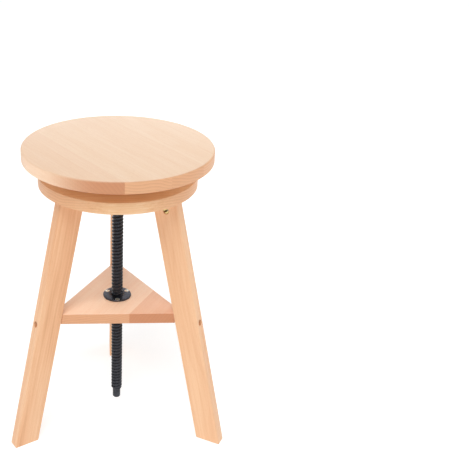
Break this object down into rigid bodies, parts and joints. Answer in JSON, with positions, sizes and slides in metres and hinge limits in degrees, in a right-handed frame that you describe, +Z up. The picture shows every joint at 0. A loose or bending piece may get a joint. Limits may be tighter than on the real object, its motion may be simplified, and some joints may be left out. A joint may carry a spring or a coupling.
{
  "type": "adjustable swivel stool",
  "caption": "Round wooden stool on three splayed board legs, whose seat winds up and down on a threaded steel spindle held by flanged nuts in a plate and a triangular stretcher.",
  "frame": {"origin": "on the floor, under the middle of the bounding box", "axes": "+Z up, along the screw's axis, which stands 27.9 mm in front of the origin; +Y towards the back leg; +X to the right, seen from the front"},
  "size_m": [0.3828, 0.3758, 0.5303],
  "materials": {
    "beech": "clear satin lacquer",
    "dowel_wood": "bare",
    "black_steel": "black oxide, lightly oiled",
    "zinc_steel": "bright zinc plate",
    "yellow_zinc_steel": "yellow zinc plate"
  },
  "bodies": {
    "frame": {"support_plate": "beech", "stretcher": "beech", "plate_nut": "black_steel", "plate_nut_screw_1": "zinc_steel", "plate_nut_screw_2": "zinc_steel", "plate_nut_screw_3": "zinc_steel", "stretcher_nut": "black_steel", "stretcher_nut_screw_1": "zinc_steel", "stretcher_nut_screw_2": "zinc_steel", "stretcher_nut_screw_3": "zinc_steel", "leg_back": "beech", "top_bolt_back": "zinc_steel", "top_barrel_nut_back": "yellow_zinc_steel", "leg_dowel_back": "dowel_wood", "stretcher_bolt_back": "zinc_steel", "stretcher_barrel_nut_back": "yellow_zinc_steel", "leg_left": "beech", "top_bolt_left": "zinc_steel", "top_barrel_nut_left": "yellow_zinc_steel", "leg_dowel_left": "dowel_wood", "stretcher_bolt_left": "zinc_steel", "stretcher_barrel_nut_left": "yellow_zinc_steel", "leg_right": "beech", "top_bolt_right": "zinc_steel", "top_barrel_nut_right": "yellow_zinc_steel", "leg_dowel_right": "dowel_wood", "stretcher_bolt_right": "zinc_steel", "stretcher_barrel_nut_right": "yellow_zinc_steel"},
    "carriage": {"spindle_tip": "black_steel"},
    "seat": {"seat_panel": "beech", "hub_disc": "beech", "spindle": "black_steel", "spindle_flange": "black_steel", "flange_screw_1": "zinc_steel", "flange_screw_2": "zinc_steel", "flange_screw_3": "zinc_steel", "flange_screw_4": "zinc_steel", "hub_screw_1": "zinc_steel", "hub_screw_2": "zinc_steel", "hub_screw_3": "zinc_steel", "hub_screw_4": "zinc_steel"}
  },
  "joints": [
    {"name": "seat_lift", "type": "slide", "parent": "frame", "child": "carriage", "axis": [0, 0, 1], "range_m": [0, 0.1885]},
    {"name": "seat_turn", "type": "hinge", "parent": "carriage", "child": "seat", "pos_m": [0, -0.0279, 0.5], "axis": [0, 0, 1], "range_deg": [0, 10440]}
  ],
  "couplings": [
    {"joint": "seat_lift", "follows": "seat_turn", "m_per_rad": 0.0010345}
  ]
}
